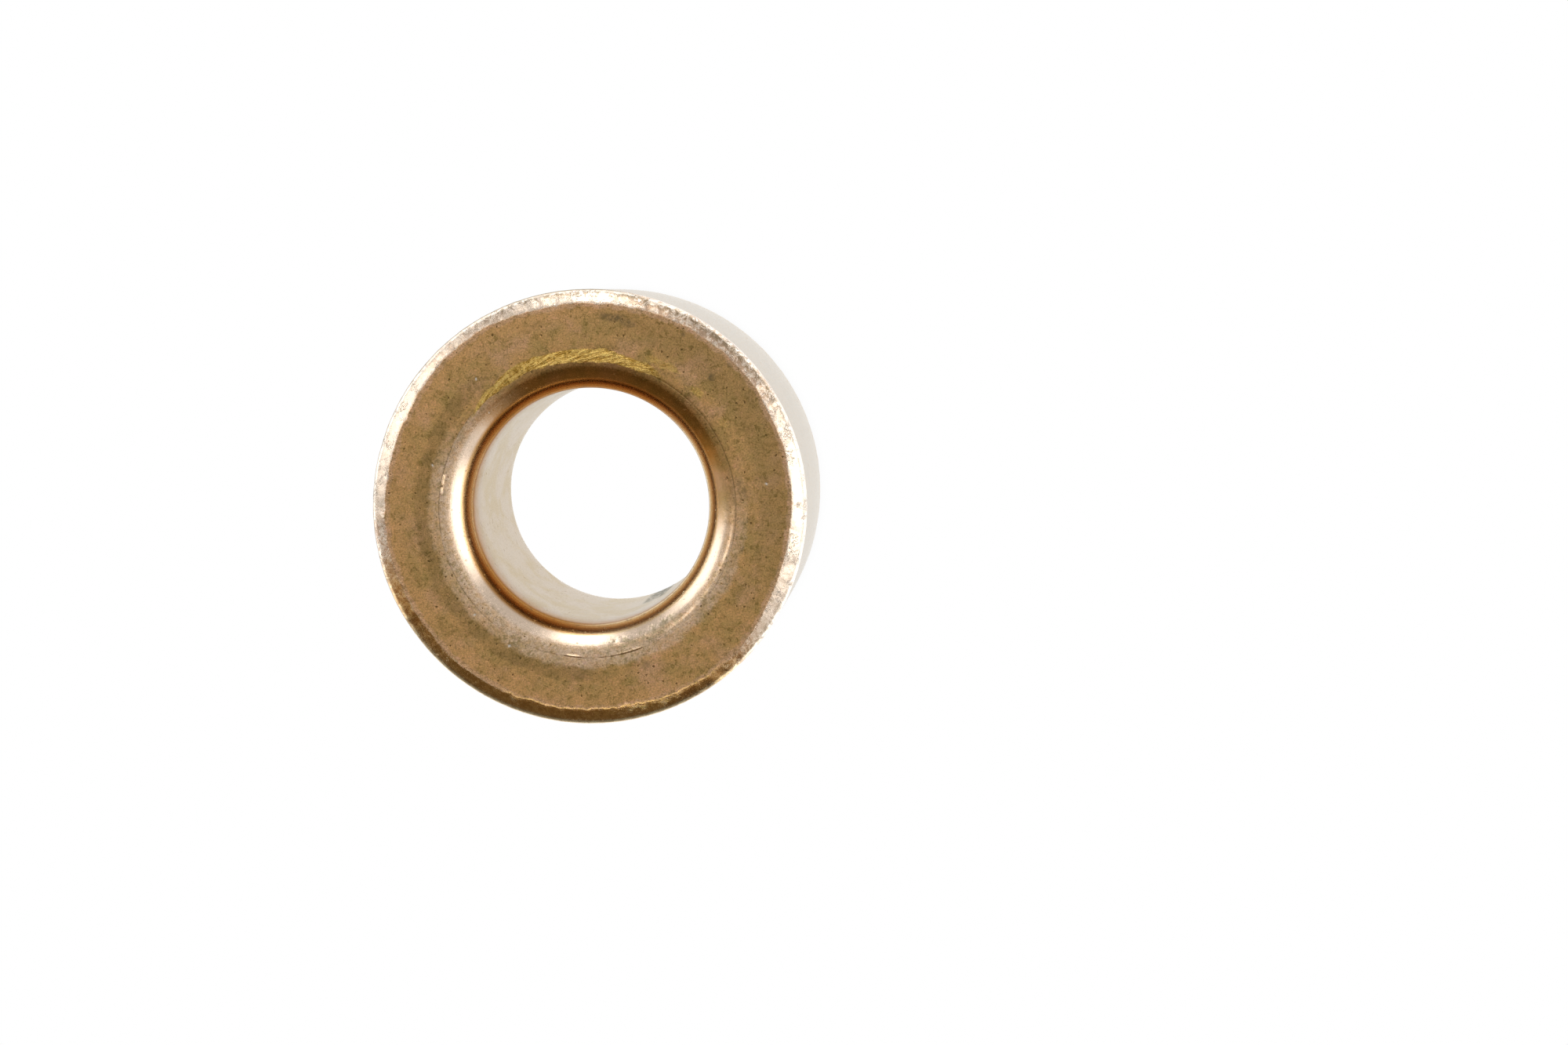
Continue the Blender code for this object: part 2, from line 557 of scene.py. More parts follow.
def paint_torn_arc(zones, place):
    """The torn arc beside the witness line, the gold trail outside it, and the line itself."""
    turn, line = place.turn, place.line
    shifted = place.r + place.drift
    outside = line + TORN_WIDTH * in_arc(turn, "torn wide")
    torn = place.upper * in_arc(turn, "torn") * band(shifted, line, outside, 0.09 * MM)
    zones["strand"] = torn * (0.3 + 0.7 * in_arc(turn, "stranded"))
    trail = 0.42 * place.upper * in_arc(turn, "gold trail") * in_ring(shifted, "gold trail")
    zones["torn"] = np.maximum(torn, trail * step_between(place.stray, -0.05, 0.2))
    sharp = place.upper * strongest_arc(turn, SHARP_LINE)
    inner_side = line - 0.5 * LINE_HALF_WIDTH
    outer_side = line + 0.6 * LINE_HALF_WIDTH
    dark = band(place.r, inner_side, outer_side, 0.6 * LINE_HALF_WIDTH)
    strength = np.clip(0.55 + 2.4 * place.stray + 0.9 * sharp, 0.1, 1.2)
    zones["line"] = (1 - zones["torn"]) * dark * strength


def paint_edge(zones, place):
    """The broken edge: frayed crease, burr, dark marks, and painted shade and glints on some arcs.
    """
    turn, r, crease, sway = place.turn, place.r, place.crease, place.sway
    edge = step_between(r + 0.5 * sway, crease - 0.03 * MM, crease + 0.06 * MM)
    edge = edge * (1 - step_between(place.depth, 0.8 * MM, 1.2 * MM))
    zones["edge"] = edge * (0.35 + 0.65 * place.upper)
    frayed = band(r + sway, crease - 0.16 * MM, crease + 0.05 * MM, 0.08 * MM)
    zones["fray"] = place.upper * frayed
    outermost = step_between(r, 10.92 * MM, 10.975 * MM)
    zones["outline"] = place.upper * in_arc(turn, "outline") * outermost
    raised = band(r, crease - 0.07 * MM, crease + 0.04 * MM, 0.06 * MM)
    # the burr and the gilded flakes: fresh metal, their gold partly painted glints
    zones["burr"] = in_arc(turn, "burr") * raised
    flaked = band(r + 2 * sway, crease, crease + 0.20 * MM, 0.12 * MM)
    broken_up = step_between(place.stray, -0.15, 0.25)
    zones["gilded"] = in_arc(turn, "gilded") * flaked * broken_up
    # painted shade: the edge's arc on the flag's side
    zones["patina"] = zones["edge"] * in_arc(turn, "patina")
    marked = place.upper * strongest_arc(turn, MARKED_RIM)
    zones["rim"] = marked * zones["edge"] * in_ring(r, "marked rim")
    # rough patches all round the edge, darker in the DIM_EDGE arcs as painted shade
    zones["dim"] = zones["edge"] * (0.20 + 0.68 * strongest_arc(turn, DIM_EDGE))


def paint_mouth(zones, place):
    """The mouth: painted highlight and shade, polish, rubbing, a dent, and the scuff down the
    bore.
    """
    turn, r, z, sway = place.turn, place.r, place.z, place.sway
    # painted highlight: the arcs where the mouth's steep ring is lit
    zones["lit"] = strongest_arc(turn, LIT_MOUTH) * (r < LIT_REACH)
    # on the upper end only in the arc where the mouth is highlit, a whiter painted highlight
    shiny = np.where(z > LENGTH / 2, in_arc(turn, "polished"), 1.0)
    zones["polished"] = shiny * in_ring(r, "polished")
    # painted shade: in its shaded arc the shoulder gets no bright rubbed colour
    bright = 1 - place.upper * in_arc(turn, "shaded shoulder")
    shoulder = bright * band(r, 6.2 * MM, place.line, 0.06 * MM)
    outside = place.upper * in_arc(turn, "rubbed") * in_ring(r + 1.6 * sway, "rubbed")
    outside = outside * (0.7 + place.stray + 0.4 * in_arc(turn, "rubbed most"))
    zones["rubbed"] = np.clip(np.maximum(shoulder, outside), 0, 1) * (1 - zones["torn"])
    zones["dent"] = place.upper * in_arc(turn, "dent") * in_ring(r + 1.5 * sway, "dent")
    low_down = 1 - step_between(z, 7 * MM, 10 * MM)
    zones["scuff"] = in_arc(turn, "scuff") * low_down * (r < 6.3 * MM)


def paint_face(zones, place):
    """The face: a dark band, painted shade by the mouth, and where it is dull, warm or smudged."""
    turn, r, sway, upper = place.turn, place.r, place.sway, place.upper
    olive_band = upper * in_arc(turn, "olive_band") * in_ring(r + 1.2 * sway, "olive_band")
    # painted shade on the mouth's shoulder, which mirrors the dim gap between the windows
    shaded = 0.6 * upper * in_arc(turn, "shaded") * in_ring(r, "shaded")
    zones["stain"] = np.maximum(np.clip(olive_band * (0.95 + place.stray), 0, 1), shaded)
    far_out = step_between(r + 2 * sway, 8.2 * MM, 8.9 * MM)
    zones["dull"] = upper * in_arc(turn, "dull") * far_out
    warm = in_arc(turn, "warm") * step_between(r + 1.5 * sway, 8.9 * MM, 10.0 * MM)
    zones["warm"] = np.clip(warm * (0.9 + place.stray), 0, 1)
    zones["smudge"] = np.zeros(len(r))
    for at_turn, at_radius, half_length, half_width, strength in SMUDGES:
        along = (turn - radians(at_turn) + pi) % (2 * pi) - pi
        away = np.hypot(
            along * at_radius * MM / (half_length * MM) + 3000 * sway,
            (r - at_radius * MM) / (half_width * MM) + 3000 * sway,
        )
        spot = upper * strength * (1 - step_between(away, 0.4, 1.3))
        zones["smudge"] = np.maximum(zones["smudge"], spot)


def surface_zones(points, turn, r, z):
    """How far each point lies in each kind of worn, torn or stained surface, from 0 to 1."""
    place = places(points, turn, r, z)
    zones = {}
    paint_torn_arc(zones, place)
    paint_edge(zones, place)
    paint_mouth(zones, place)
    paint_face(zones, place)
    return zones


def proud_grains(points):
    """How far the proud grains lift each point, and where each gets a painted glint."""
    lift = np.zeros(len(points))
    glint = np.zeros(len(points))
    flat = points[:, :2]
    underneath = np.where(points[:, 2] > LENGTH / 2, 0, LENGTH)
    for at_turn, at_radius, size, rise in PROUD_GRAINS:
        at = at_radius * MM * np.array([cos(radians(at_turn)), sin(radians(at_turn))])
        tip = (np.hypot(*(flat - at).T) + underneath).argmin()
        away = np.hypot(*(flat - flat[tip]).T) + underneath
        near = np.clip(1 - away / (size * MM), 0, 1)
        lift += rise * MM * near
        glint = np.maximum(glint, step_between(near, 0.2, 0.7))
    return lift, glint


def relief(points, zones):
    """How far the fine relief lifts each point along its normal."""
    lumps = rough(points, 2.6 * MM, 11.0, 2)
    bumps = rough(points, 0.55 * MM, 17.0, 3)
    grains = rough(points, 0.2 * MM, 23.0, 2)
    edge = zones["edge"] * (1 - 0.8 * zones["patina"])
    fray = zones["fray"] * (1 - 0.7 * zones["patina"])
    return (
        LUMP_HEIGHT * lumps
        + BUMP_HEIGHT * bumps
        + edge * (EDGE_BUMPS * bumps + EDGE_GRAINS * grains)
        + fray * FRAY_GRAINS * grains
        + zones["torn"] * (TORN_GRAINS * grains + TORN_BUMPS * bumps)
        + zones["dent"] * (DENT_BUMPS * bumps - DENT_DEPTH)
        + zones["scuff"] * SCUFF_HEIGHT * (grains + bumps)
    )


def ring_faces(ring_count):
    """Quads from ring to ring and round the turn, closed both ways."""
    index = np.arange(ring_count * TURN_STEPS).reshape(ring_count, TURN_STEPS)
    below = np.roll(index, -1, axis=0)
    corners = (index, below, np.roll(below, -1, axis=1), np.roll(index, -1, axis=1))
    return np.stack(corners, axis=-1).reshape(-1, 4)


def ring_normals(rings):
    """Outward normals, from the rings above and below and the steps to either side."""
    along = np.roll(rings, -1, axis=0) - np.roll(rings, 1, axis=0)
    around = np.roll(rings, -1, axis=1) - np.roll(rings, 1, axis=1)
    normals = np.cross(along, around)
    return normals / np.linalg.norm(normals, axis=-1, keepdims=True)


def sleeve_mesh():
    """The sleeve as a fine mesh of rings, with its zones painted on it."""
    angles = np.linspace(0, 2 * pi, TURN_STEPS, endpoint=False)
    rows = sleeve_rows(angles)
    radius = np.array([row[0] for row in rows])
    height = np.array([row[1] for row in rows])
    rings = np.stack([radius * np.cos(angles), radius * np.sin(angles), height], axis=-1)
    points = rings.reshape(-1, 3)
    turn = np.broadcast_to(angles, radius.shape).reshape(-1)
    z = height.reshape(-1)
    zones = surface_zones(points, turn, radius.reshape(-1), z)
    proud, zones["chip"] = proud_grains(points)
    lift = relief(points, zones) + proud
    moved = points + ring_normals(rings).reshape(-1, 3) * lift[:, None]
    drop = FACE_DROP * (2 * step_between(z, 0, LENGTH) - 1)
    moved[:, 2] = np.clip(moved[:, 2] - drop, 0.0, LENGTH + PROUD_LIMIT)

    mesh = bpy.data.meshes.new("bushing")
    mesh.from_pydata(moved.tolist(), [], ring_faces(len(rows)).tolist())
    mesh.update()
    for name in ZONE_NAMES:
        layer = mesh.attributes.new(name, "FLOAT", "POINT")
        layer.data.foreach_set("value", zones[name].astype(np.float32))
    mesh.shade_smooth()
    return mesh


def build_sleeve():
    """The sleeve, which rides on the root body and stands for its CAD solid."""
    mesh = sleeve_mesh()
    sleeve = bpy.data.objects.new("sleeve_surface", mesh)
    bpy.context.scene.collection.objects.link(sleeve)
    mesh.materials.append(bronze_material())
    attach(sleeve, "root")
    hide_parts(NODE)


class Wiring:
    """Short calls for building a material out of nodes. Sizes are in millimetres."""

    def __init__(self, name):
        self.material = bpy.data.materials.new(name)
        self.material.use_nodes = True
        self.tree = self.material.node_tree
        self.shader = self.tree.nodes["Principled BSDF"]

    def node(self, kind, *values, **settings):
        """A new node, with values or links for its first sockets."""
        node = self.tree.nodes.new("ShaderNode" + kind)
        for name, value in settings.items():
            setattr(node, name, value)
        for socket, value in zip(node.inputs, values):
            self.put(socket, value)
        return node

    def put(self, socket, value):
        """Link a socket to another one, or give it a value."""
        if isinstance(value, bpy.types.NodeSocket):
            self.tree.links.new(value, socket)
        elif value is not None:
            socket.default_value = value

    def math(self, operation, *values):
        return self.node("Math", *values, operation=operation).outputs[0]

    def total(self, first, *others):
        for other in others:
            first = self.math("ADD", first, other)
        return first

    def times(self, first, *others):
        for other in others:
            first = self.math("MULTIPLY", first, other)
        return first

    def fade(self, value, low, high, to_low=0.0, to_high=1.0):
        """Smooth step from to_low where value is low to to_high where it is high."""
        node = self.node("MapRange", value, low, high, to_low, to_high)
        node.interpolation_type = "SMOOTHSTEP"
        return node.outputs[0]

    def zone(self, name):
        """What is painted on the mesh under that name."""
        return self.node("Attribute", attribute_name=name).outputs["Fac"]

    def noise(self, spot, size, detail=3.0, roughness=0.55, distortion=0.0):
        """Noise from 0 to 1 with lumps of about that size."""
        node = self.node("TexNoise")
        self.put(node.inputs["Vector"], spot)
        self.put(node.inputs["Scale"], 1 / size)
        self.put(node.inputs["Detail"], detail)
        self.put(node.inputs["Roughness"], roughness)
        self.put(node.inputs["Distortion"], distortion)
        return node.outputs[0]

    def noise_vector(self, spot, size, shift):
        """The same place, moved about by up to half of shift."""
        node = self.node("TexNoise")
        self.put(node.inputs["Vector"], spot)
        self.put(node.inputs["Scale"], 1 / size)
        colour, middle = node.outputs["Color"], (0.5, 0.5, 0.5)
        moved = self.node("VectorMath", colour, middle, operation="SUBTRACT")
        moved = self.scaled(moved.outputs[0], shift, shift, shift)
        return self.node("VectorMath", spot, moved, operation="ADD").outputs[0]

    def cells(self, spot, size):
        """Distance to the nearest cell's point, in cells, and two random values of that cell."""
        node = self.node("TexVoronoi")
        self.put(node.inputs["Vector"], spot)
        self.put(node.inputs["Scale"], 1 / size)
        colour = self.node("SeparateColor", node.outputs["Color"])
        return node.outputs["Distance"], colour.outputs[0], colour.outputs[1]

    def scaled(self, spot, *factors):
        return self.node("VectorMath", spot, factors, operation="MULTIPLY").outputs[0]

    def mix(self, share, first, second, blend="MIX"):
        """From the first colour to the second, or the two blended, by a share from 0 to 1."""
        node = self.node("Mix", data_type="RGBA", blend_type=blend)
        self.put(node.inputs[0], share)
        for socket, value in ((node.inputs[6], first), (node.inputs[7], second)):
            self.put(socket, (*value, 1) if isinstance(value, tuple) else value)
        return node.outputs[2]


def pore_mask(make, spot):
    """Pores, of two sizes. Each cell has one, if at all, with a radius of its own."""
    shaken = make.noise_vector(make.noise_vector(spot, 0.12, 0.12), 0.05, 0.06)
    masks = []
    for cell_size, narrowest, widest, full_to, rarity, strength in PORE_KINDS:
        away, chance, size = make.cells(shaken, cell_size)
        wide = make.fade(size, 0.0, 1.0, narrowest, widest)
        inside = make.fade(make.math("DIVIDE", away, wide), full_to, 1.1, 1.0, 0.0)
        chosen = make.fade(chance, rarity, rarity + 0.02)
        masks.append(make.times(inside, chosen, strength))
    return make.math("MAXIMUM", *masks)


def bronze_marks(make):
    """Places in mm, painted zones, noises and masks, for the colour, the sheen and the relief."""
    place = make.node("TexCoord").outputs["Object"]
    spot = make.scaled(place, 1 / MM, 1 / MM, 1 / MM)
    x, y, z = make.node("SeparateXYZ", spot).outputs
    reach = make.math("SQRT", make.total(make.times(x, x), make.times(y, y)))
    marks = SimpleNamespace(z=z, reach=reach)
    for name in ZONE_NAMES:
        setattr(marks, name, make.zone(name))
    rim_depth = make.fade(z, TOP - 1.6, TOP - 1.2)
    marks.outline = make.times(marks.outline, rim_depth)

    # the same place stretched along the turn, for marks that run round the bore, and
    # slanted across it, for the strands of the torn arc
    round_x = make.math("DIVIDE", x, reach)
    round_y = make.math("DIVIDE", y, reach)
    ring_spot = make.node(
        "CombineXYZ",
        make.times(round_x, 2.2),
        make.times(round_y, 2.2),
        make.times(make.total(reach, z), 2.4),
    ).outputs[0]
    slanted_spot = make.node(
        "CombineXYZ",
        make.times(round_x, 3.6),
        make.times(round_y, 3.6),
        make.total(make.times(reach, 2.4), make.times(x, -0.7)),
    ).outputs[0]

    marks.clouds = make.noise(spot, 2.2, 4.0, 0.6)
    marks.blotches = make.noise(spot, 0.75, 4.0, 0.62)
    marks.flecks = make.noise(make.scaled(spot, 1.0, 1.0, 0.6), 0.30, 3.0, 0.6, 0.6)
    marks.grain = make.noise(spot, 0.085, 4.0, 0.75)
    marks.cracks = make.noise(spot, 0.42, 5.0, 0.7, 1.6)
    marks.speckles = make.noise(spot, 0.27, 3.5, 0.70, 0.7)
    marks.glints = make.noise(make.scaled(spot, 1.0, 1.0, 1.4), 0.26, 4.0, 0.72)
    marks.smoke = make.noise(spot, 0.95, 6.0, 0.72, 0.5)
    marks.streaks = make.noise(ring_spot, 0.16, 4.0, 0.6)
    marks.strands = make.noise(slanted_spot, 0.34, 5.0, 0.66, 0.5)
    marks.crumbs = make.noise(spot, 0.16, 4.0, 0.72)
    marks.clouds_inside = make.noise(make.scaled(spot, 1.0, 1.0, 0.45), 1.7, 5.0, 0.62, 0.4)
    marks.pores = pore_mask(make, spot)

    off_edge = make.fade(marks.edge, 0.0, 1.0, 1.0, 0.0)
    marks.on_wall = make.times(make.fade(reach, 10.80, 10.90), off_edge)
    covered = make.math("MAXIMUM", marks.edge, marks.torn)
    marks.open_face = make.times(
        make.math("SUBTRACT", 1.0, covered),
        make.fade(reach, 6.9, 7.3, 0.12, 1.0),
        make.fade(reach, 11.0, 10.9),
    )
    marks.scuffed = make.times(marks.scuff, make.fade(marks.flecks, 0.35, 0.55))

    # how much of the grain shows: less in the polished mouth, on the edge and on the wall
    marks.grainy = make.times(
        make.fade(reach, 6.5, 7.5, 0.05, 1.0),
        make.fade(marks.edge, 0.0, 1.0, 1.0, 0.35),
        make.fade(marks.on_wall, 0.0, 1.0, 1.0, 0.5),
    )

    # thin cracks in the broken edge
    marks.broken = make.times(marks.edge, make.fade(marks.patina, 0.0, 1.0, 1.0, 0.08))
    off_middle = make.math("ABSOLUTE", make.math("SUBTRACT", marks.cracks, 0.5))
    marks.cracked = make.times(
        make.fade(off_middle, 0.0, 0.03, 1.0, 0.0),
        make.fade(marks.blotches, 0.50, 0.62),
        marks.broken,
    )
    return marks


def clean_colour(make, marks):
    """Colour of the sleeve before grain and dirt: face, edge, torn arc, mouth, bore and wall."""
    reach, z, flecks, crumbs = marks.reach, marks.z, marks.flecks, marks.crumbs
    blotches, cracks = marks.blotches, marks.cracks

    # the face, from olive to tan with pinkish clouds
    colour = make.mix(make.fade(blotches, 0.28, 0.70), OLIVE, TAN)
    colour = make.mix(make.fade(marks.clouds, 0.46, 0.70, 0.0, 0.8), colour, PINKISH)
    warmed = make.times(marks.warm, make.fade(flecks, 0.3, 0.7, 0.4, 0.9))
    colour = make.mix(warmed, colour, WARM)
    # a darker olive band, and painted shade on the mouth's shoulder
    olive_band = make.times(marks.stain, make.fade(blotches, 0.3, 0.65, 1.0, 0.55))
    colour = make.mix(olive_band, colour, DARK_OLIVE)
    colour = make.mix(make.times(marks.dull, 0.55), colour, DULL)
    smeared = make.times(
        marks.rubbed,
        make.fade(flecks, 0.35, 0.6, 0.5, 1.0),
        make.fade(reach, 7.9, 7.3, 0.7, 1.0),
    )
    colour = make.mix(smeared, colour, RUBBED)
    # the polished mouth, whitened as a painted highlight
    colour = make.mix(marks.polished, colour, POLISH_AND_HIGHLIGHT)

    # the broken edge, the torn arc and the burr
    colour = make.mix(make.times(marks.fray, 0.5), colour, FRAYED)
    # painted shade on the edge's arc on the flag's side, flecked with painted glints
    dark_edge = make.mix(make.fade(flecks, 0.40, 0.62), SHADED_EDGE, SHADED_EDGE_GLINT)
    colour = make.mix(marks.edge, colour, make.mix(marks.patina, BROKEN, dark_edge))
    # rough patches on the edge, partly painted shade where it mirrors dimmer light
    worn = make.times(marks.dim, make.fade(cracks, 0.42, 0.56))
    colour = make.mix(worn, colour, DIM_TINT, "MULTIPLY")
    mingled = make.total(make.times(marks.strands, 0.6), make.times(crumbs, 0.4))
    gilt = make.mix(make.fade(mingled, 0.42, 0.55), GOLD_DARK, GOLD)
    torn = make.fade(make.total(marks.torn, make.times(crumbs, 0.5)), 0.3, 0.9)
    colour = make.mix(torn, colour, gilt)
    marked = make.times(marks.rim, make.fade(cracks, 0.44, 0.58), 0.75)
    colour = make.mix(marked, colour, CRACK)
    # gilded flakes and burr: fresh metal, their gold partly painted glints
    colour = make.mix(make.times(marks.gilded, make.fade(crumbs, 0.45, 0.56)), colour, GOLD)
    broken_off = make.times(marks.burr, make.fade(crumbs, 0.40, 0.56, 0.3, 0.95))
    colour = make.mix(broken_off, colour, BURR)
    colour = make.mix(make.times(marks.outline, 0.7), colour, CRACK)

    # the steep part of the mouth with painted shade and highlight, the bore with its scuff, and
    # the wall
    steep = make.times(make.fade(reach, 6.62, 6.43), make.fade(z, TOP - 0.38, TOP - 0.54))
    colour = make.mix(steep, colour, make.mix(marks.lit, DEEP_SHADE, DEEP_LIT))
    inside = make.fade(z, TOP - 1.6, TOP - 6.0)
    streaked = make.fade(marks.streaks, 0.25, 0.75, 0.0, 0.5)
    share = make.total(make.times(inside, 0.9), make.times(streaked, -0.25))
    in_bore = make.times(make.fade(reach, 6.08, 6.01), make.fade(z, TOP - 1.2, TOP - 1.6))
    colour = make.mix(in_bore, colour, make.mix(share, BORE_MOUTH, BORE))
    lip = make.times(make.fade(reach, 6.15, 6.05), make.fade(z, TOP - 5.5, TOP - 2.0))
    dusty = make.times(lip, make.fade(marks.speckles, 0.50, 0.66), 0.8)
    colour = make.mix(dusty, colour, CRACK)
    colour = make.mix(marks.scuffed, colour, SCUFFED)
    weathered = make.mix(make.fade(marks.streaks, 0.35, 0.70), WALL, WALL_DULL)
    return make.mix(marks.on_wall, colour, weathered)


def soiled_colour(make, marks, colour):
    """The colour with its grain, its specks and its dirt."""
    clusters = make.fade(marks.blotches, 0.38, 0.62, 1.0, 0.55)
    dirt = make.times(make.fade(marks.speckles, 0.52, 0.62), clusters, marks.grainy)
    colour = make.mix(dirt, colour, DARK_TINT, "MULTIPLY")
    bright = make.times(make.fade(marks.glints, 0.54, 0.66), marks.grainy)
    colour = make.mix(bright, colour, LIGHT_TINT, "MULTIPLY")
    shade = make.fade(marks.grain, 0.28, 0.72, 0.68, 1.28)
    shade = make.total(1.0, make.times(make.total(shade, -1.0), marks.grainy))
    grey = make.node("CombineColor", shade, shade, shade).outputs[0]
    colour = make.mix(1.0, colour, grey, "MULTIPLY")
    smoky = make.times(make.fade(marks.smoke, 0.50, 0.66), marks.open_face, 0.7)
    colour = make.mix(smoky, colour, SMOKE_TINT, "MULTIPLY")
    colour = make.mix(make.times(marks.pores, marks.open_face, 0.8), colour, PORE)
    dented = make.times(marks.dent, make.fade(marks.flecks, 0.40, 0.62))
    colour = make.mix(dented, colour, DARK_TINT, "MULTIPLY")
    smudged = make.times(marks.smudge, make.fade(marks.crumbs, 0.40, 0.56, 0.4, 1.1))
    colour = make.mix(smudged, colour, SMUDGE)
    # painted highlight: near white on the proud grains
    colour = make.mix(marks.chip, colour, PAINTED_GLINT)
    colour = make.mix(make.times(marks.line, 0.55), colour, PORE)
    return make.mix(make.times(marks.cracked, 0.8), colour, CRACK)


def glancing_tint(make, marks):
    """Tint of what the metal mirrors at a glance: white where clean, dark where not, and painted
    shade.
    """
    reach, z = marks.reach, marks.z
    in_bore = make.times(make.fade(reach, 6.06, 6.01), make.fade(z, TOP - 1.0, TOP - 1.8))
    near_lip = make.times(in_bore, make.fade(z, TOP - 4.5, TOP - 1.5))
    tint = make.mix(near_lip, CLEAN_TINT, LIP_TINT)
    clouded = make.times(in_bore, make.fade(marks.clouds_inside, 0.40, 0.62))
    tint = make.mix(clouded, tint, BORE_TINT, "MULTIPLY")
    tint = make.mix(marks.on_wall, tint, WALL_TINT)
    tint = make.mix(marks.outline, tint, OUTLINE_TINT)
    # painted shade: the steep ring mirrors darker, less where its highlight is painted
    ring = make.times(make.fade(reach, 6.36, 6.20), make.fade(z, TOP - 2.6, TOP - 1.6))
    ring = make.times(ring, make.fade(marks.lit, 0.0, 0.8, 1.0, 0.2))
    tint = make.mix(ring, tint, RING_TINT, "MULTIPLY")
    return make.mix(marks.scuffed, tint, SCUFFED)


def bronze_roughness(make, marks):
    """Roughness of the grain, less where the metal is worn or rolled smooth."""
    smooth = make.times(marks.rubbed, 0.10)
    smoother = (
        make.times(marks.edge, 0.12),
        make.times(make.fade(marks.reach, 7.2, 7.0), 0.17),
        make.times(marks.torn, 0.08),
        make.times(marks.on_wall, 0.09),
    )
    for share in smoother:
        smooth = make.math("MAXIMUM", smooth, share)
    grainy = make.fade(marks.grain, 0.2, 0.8, 0.32, 0.46)
    return make.total(grainy, make.times(marks.pores, 0.25), make.times(smooth, -1.0))


def bronze_relief(make, marks):
    """Height of the fine relief, in mm."""
    broken, torn, gilded = marks.broken, marks.torn, marks.gilded
    grain_height = make.total(0.003, make.times(broken, 0.004), make.times(torn, 0.002))
    fleck_height = make.total(0.002, make.times(broken, 0.010), make.times(marks.dent, 0.01))
    strands = make.total(marks.strands, -0.5)
    crumbs = make.total(marks.crumbs, -0.5)
    return make.total(
        make.times(marks.grain, grain_height, marks.grainy),
        make.times(marks.flecks, fleck_height),
        make.times(strands, marks.strand, 0.125),
        make.times(crumbs, torn, 0.022),
        make.times(crumbs, marks.fray, 0.030),
        make.times(strands, gilded, 0.10),
        make.times(crumbs, gilded, 0.05),
        make.times(marks.streaks, marks.dent, 0.010),
        make.times(marks.streaks, marks.rubbed, 0.004),
        make.times(marks.pores, marks.open_face, -0.012),
        make.times(marks.cracked, -0.02),
    )


def bronze_material():
    """Sintered bronze: a dull grainy face with pores, brighter where it is rubbed or torn."""
    make = Wiring("sintered_bronze")
    marks = bronze_marks(make)
    sockets = make.shader.inputs
    make.put(sockets["Base Color"], soiled_colour(make, marks, clean_colour(make, marks)))
    make.put(sockets["Specular Tint"], glancing_tint(make, marks))
    sockets["Metallic"].default_value = 1.0
    make.put(sockets["Roughness"], bronze_roughness(make, marks))
    bump = make.node("Bump")
    make.put(bump.inputs["Strength"], 1.0)
    make.put(bump.inputs["Distance"], MM)
    make.put(bump.inputs["Height"], bronze_relief(make, marks))
    make.put(sockets["Normal"], bump.outputs[0])
    return make.material


def glow(name, colour, strength, faint=None):
    """Light of one colour, which falls to faint where the mesh's level is 0, if faint is given."""
    make = Wiring(name)
    make.tree.nodes.remove(make.shader)
    if faint is not None:
        strength = make.math("MULTIPLY_ADD", make.zone("level"), strength - faint, faint)
    light = make.node("Emission", (*colour, 1), strength)
    make.put(make.tree.nodes["Material Output"].inputs[0], light.outputs[0])
    return make.material


def stage_mesh(name, vertices, faces, material):
    """A piece of the stage, which is there for the light only."""
    mesh = bpy.data.meshes.new(name)
    mesh.from_pydata(vertices, [], faces)
    mesh.materials.append(material)
    piece = bpy.data.objects.new(name, mesh)
    bpy.context.scene.collection.objects.link(piece)
    return piece


def set_levels(piece, levels):
    """Give each vertex its level of light, from 0 to 1."""
    layer = piece.data.attributes.new("level", "FLOAT", "POINT")
    layer.data.foreach_set("value", levels)


def card(name, turns, rises, strength, side_fade, colour=WHITE, distance=CARD_DISTANCE):
    """A curved card of light round the object, between two turns and two rises in degrees.

    It fades out over its last degrees at both sides and at the top.
    """
    turn_from, turn_to = turns
    rise_from, rise_to = rises
    vertices, faces, levels = [], [], []
    for row in range(CARD_ROWS + 1):
        rise = rise_from + (rise_to - rise_from) * row / CARD_ROWS
        flat = distance * cos(radians(rise))
        height = distance * sin(radians(rise)) + LENGTH
        for column in range(CARD_COLUMNS + 1):
            turn = turn_from + (turn_to - turn_from) * column / CARD_COLUMNS
            vertices.append((flat * cos(radians(turn)), flat * sin(radians(turn)), height))
            sides = min(1.0, (turn - turn_from) / side_fade, (turn_to - turn) / side_fade)
            levels.append(sides * min(1.0, (rise_to - rise) / TOP_FADE))
    above = CARD_COLUMNS + 1
    for row in range(CARD_ROWS):
        for column in range(CARD_COLUMNS):
            corner = row * above + column
            faces.append((corner, corner + 1, corner + above + 1, corner + above))
    piece = stage_mesh(name, vertices, faces, glow(name, colour, strength, ROOM_LIGHT))
    set_levels(piece, levels)
    piece.visible_camera = False
    return piece


def circle(radius, height):
    """Points round the axis, at a height."""
    turns = [2 * pi * side / SIDES for side in range(SIDES)]
    return [(radius * cos(turn), radius * sin(turn), height) for turn in turns]


def disc(name, radii, height, material):
    """A flat disc of rings round a middle face."""
    vertices = [point for radius in radii for point in circle(radius, height)]
    faces = [tuple(range(SIDES))]
    for ring in range(len(radii) - 1):
        for side in range(SIDES):
            after = (side + 1) % SIDES
            inner, outer = ring * SIDES, (ring + 1) * SIDES
            faces.append((inner + side, outer + side, outer + after, inner + after))
    return stage_mesh(name, vertices, faces, material)


